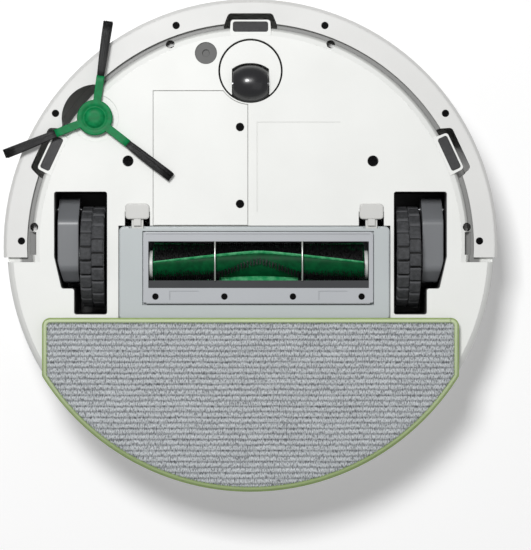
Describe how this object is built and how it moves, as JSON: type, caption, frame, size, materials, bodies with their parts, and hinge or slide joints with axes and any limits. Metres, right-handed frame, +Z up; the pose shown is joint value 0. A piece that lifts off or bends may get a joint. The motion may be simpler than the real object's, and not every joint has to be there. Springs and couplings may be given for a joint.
{
  "type": "robot vacuum",
  "caption": "Round robot vacuum: bumper round the front half, side brush, caster, drive wheels in wells, guarded main brush and a D-shaped mop pad under a rear bin.",
  "frame": {"origin": "on the floor under the middle of the round body", "axes": "+Z up, -Y to the front where the bumper is, +X to the side away from the side brush"},
  "size_m": [0.337, 0.337, 0.081],
  "materials": {
    "base_plastic": "fine satin moulding",
    "door_plastic": "fine satin moulding",
    "cover_plastic": "satin white",
    "bumper_plastic": "satin white",
    "bumper_ring_plastic": "satin white",
    "bin_plastic": "satin white",
    "lid_plastic": "smoky, satin",
    "button_plastic": "satin white",
    "bin_button_plastic": "satin grey",
    "head_plastic": "satin cool grey",
    "guard_plastic": "satin grey",
    "tab_plastic": "satin light grey",
    "arm_plastic": "satin mid grey",
    "hub_plastic": "satin dark grey",
    "tyre_rubber": "matt, blocky tread",
    "caster_plastic": "satin white",
    "caster_wheel_plastic": "glossy black",
    "steel": "turned steel",
    "screw_steel": "black zinc",
    "side_green": "soft satin green",
    "side_bristle": "black nylon filaments",
    "brush_green": "soft green rubber",
    "brush_core_green": "satin dark green",
    "brush_bristle": "black nylon filaments",
    "cap_plastic": "satin white",
    "gear_plastic": "natural acetal",
    "wiper_rubber": "matt dark grey",
    "window_plastic": "dark, lets infrared through",
    "sensor_plastic": "satin grey",
    "contact_metal": "nickel plated",
    "motor_metal": "plain steel can",
    "gearbox_plastic": "satin dark grey",
    "battery_wrap": "shrink wrapped cells",
    "board_green": "fibreglass board",
    "fan_plastic": "satin dark grey",
    "switch_plastic": "black",
    "filter_paper": "pleated filter",
    "plug_rubber": "soft grey",
    "pump_plastic": "satin grey",
    "plate_plastic": "satin light grey",
    "microfibre": "ribbed microfibre, green binding"
  },
  "bodies": {
    "chassis": {"base_plate": "base_plastic", "top_cover": "cover_plastic", "battery_door": "door_plastic", "door_screws": "screw_steel", "battery_pack": "battery_wrap", "chassis_screws": "screw_steel", "main_board": "board_green", "fan_housing": "fan_plastic", "fan_motor": "motor_metal", "brush_motor": "gearbox_plastic", "idler_pin": "steel", "side_brush_motor": "motor_metal", "brush_housing": "head_plastic", "cliff_sensor_windows": "window_plastic", "floor_tracking_sensor": "sensor_plastic", "bump_switches": "switch_plastic", "wheel_pivot_pins": "steel", "dock_sensor_lens": "window_plastic", "charging_contacts": "contact_metal"},
    "fan_wheel": {"impeller": "switch_plastic"},
    "caster": {"caster_swivel": "caster_plastic", "caster_axle": "steel"},
    "caster_roller": {"caster_wheel": "caster_wheel_plastic"},
    "bumper": {"bumper_shell": "bumper_plastic", "bumper_ring": "bumper_ring_plastic", "bumper_screws": "screw_steel"},
    "side_brush": {"side_brush_hub": "side_green", "side_brush_bristles": "side_bristle"},
    "main_brush": {"main_brush_core": "brush_core_green", "main_brush_blades": "brush_green", "main_brush_bristles": "brush_bristle", "main_brush_caps": "cap_plastic", "brush_gear": "gear_plastic"},
    "idler": {"brush_idler": "gear_plastic"},
    "pinion": {"brush_pinion": "gear_plastic", "brush_pinion_shaft": "steel"},
    "guard": {"brush_guard": "guard_plastic", "guard_wires": "steel", "wiper_strip": "wiper_rubber", "guard_screws": "screw_steel"},
    "tab_left": {"guard_tab_left": "tab_plastic"},
    "tab_right": {"guard_tab_right": "tab_plastic"},
    "bin": {"bin_body": "bin_plastic", "bin_lid": "lid_plastic", "bin_filter": "filter_paper", "tank_plug": "plug_rubber", "water_pump": "pump_plastic"},
    "bin_latch": {"bin_button": "bin_button_plastic"},
    "mop": {"mop_plate": "plate_plastic", "mop_pad": "microfibre"},
    "clean_key": {"clean_button": "button_plastic"},
    "dock_key": {"dock_button": "button_plastic"},
    "arm_left": {"wheel_arm_left": "arm_plastic", "wheel_motor_left": "motor_metal"},
    "wheel_left": {"wheel_hub_left": "hub_plastic", "wheel_tyre_left": "tyre_rubber"},
    "arm_right": {"wheel_arm_right": "arm_plastic", "wheel_motor_right": "motor_metal"},
    "wheel_right": {"wheel_hub_right": "hub_plastic", "wheel_tyre_right": "tyre_rubber"}
  },
  "joints": [
    {"name": "bumper_press", "type": "slide", "parent": "chassis", "child": "bumper", "axis": [0, 1, 0], "range_m": [0, 0.0022], "stiffness_N_per_m": 900, "springref_m": -0.001},
    {"name": "side_brush_spin", "type": "hinge", "parent": "chassis", "child": "side_brush", "pos_m": [-0.1057, -0.0871, 0.006], "axis": [0, 0, 1], "continuous": true},
    {"name": "main_brush_spin", "type": "hinge", "parent": "chassis", "child": "main_brush", "pos_m": [0.0055, 0.0127, 0.0185], "axis": [1, 0, 0], "continuous": true},
    {"name": "idler_spin", "type": "hinge", "parent": "chassis", "child": "idler", "pos_m": [0.088, 0.0127, 0.0365], "axis": [1, 0, 0], "continuous": true},
    {"name": "pinion_spin", "type": "hinge", "parent": "chassis", "child": "pinion", "pos_m": [0.088, 0.0127, 0.0525], "axis": [1, 0, 0], "continuous": true},
    {"name": "fan_spin", "type": "hinge", "parent": "chassis", "child": "fan_wheel", "pos_m": [0.047, -0.062, 0.02], "axis": [0, 0, 1], "continuous": true},
    {"name": "guard_open", "type": "hinge", "parent": "chassis", "child": "guard", "pos_m": [0.0052, 0.0384, 0.0064], "axis": [1, 0, 0], "range_deg": [0, 85]},
    {"name": "guard_tab_left_press", "type": "slide", "parent": "chassis", "child": "tab_left", "axis": [0, -1, 0], "range_m": [0, 0.003], "stiffness_N_per_m": 400},
    {"name": "guard_tab_right_press", "type": "slide", "parent": "chassis", "child": "tab_right", "axis": [0, -1, 0], "range_m": [0, 0.003], "stiffness_N_per_m": 400},
    {"name": "wheel_drop_left", "type": "hinge", "parent": "chassis", "child": "arm_left", "pos_m": [-0.1245, -0.025, 0.04], "axis": [1, 0, 0], "range_deg": [-24, 0], "stiffness_Nm_per_rad": 0.15, "springref_deg": -63.03},
    {"name": "wheel_spin_left", "type": "hinge", "parent": "arm_left", "child": "wheel_left", "pos_m": [-0.1076, 0.0073, 0.0345], "axis": [1, 0, 0], "continuous": true},
    {"name": "wheel_drop_right", "type": "hinge", "parent": "chassis", "child": "arm_right", "pos_m": [0.1245, -0.025, 0.04], "axis": [1, 0, 0], "range_deg": [-24, 0], "stiffness_Nm_per_rad": 0.15, "springref_deg": -63.03},
    {"name": "wheel_spin_right", "type": "hinge", "parent": "arm_right", "child": "wheel_right", "pos_m": [0.1076, 0.0073, 0.0345], "axis": [1, 0, 0], "continuous": true},
    {"name": "caster_turn", "type": "hinge", "parent": "chassis", "child": "caster", "pos_m": [0, -0.1192, 0.02], "axis": [0, 0, 1], "continuous": true},
    {"name": "caster_roll", "type": "hinge", "parent": "caster", "child": "caster_roller", "pos_m": [0, -0.1106, 0.01275], "axis": [1, 0, 0], "continuous": true},
    {"name": "bin_slide", "type": "slide", "parent": "chassis", "child": "bin", "axis": [0, 1, 0], "range_m": [0, 0.18]},
    {"name": "bin_button_press", "type": "slide", "parent": "bin", "child": "bin_latch", "axis": [0, -1, 0], "range_m": [0, 0.002], "stiffness_N_per_m": 900},
    {"name": "mop_slide", "type": "slide", "parent": "bin", "child": "mop", "axis": [0, 1, 0], "range_m": [0, 0.12]},
    {"name": "clean_button_press", "type": "slide", "parent": "chassis", "child": "clean_key", "axis": [0, 0, -1], "range_m": [0, 0.0008], "stiffness_N_per_m": 2000},
    {"name": "dock_button_press", "type": "slide", "parent": "chassis", "child": "dock_key", "axis": [0, 0, -1], "range_m": [0, 0.0008], "stiffness_N_per_m": 2000}
  ],
  "couplings": [
    {"joint": "idler_spin", "follows": "main_brush_spin", "ratio": -0.8},
    {"joint": "pinion_spin", "follows": "main_brush_spin", "ratio": 1.3333}
  ]
}
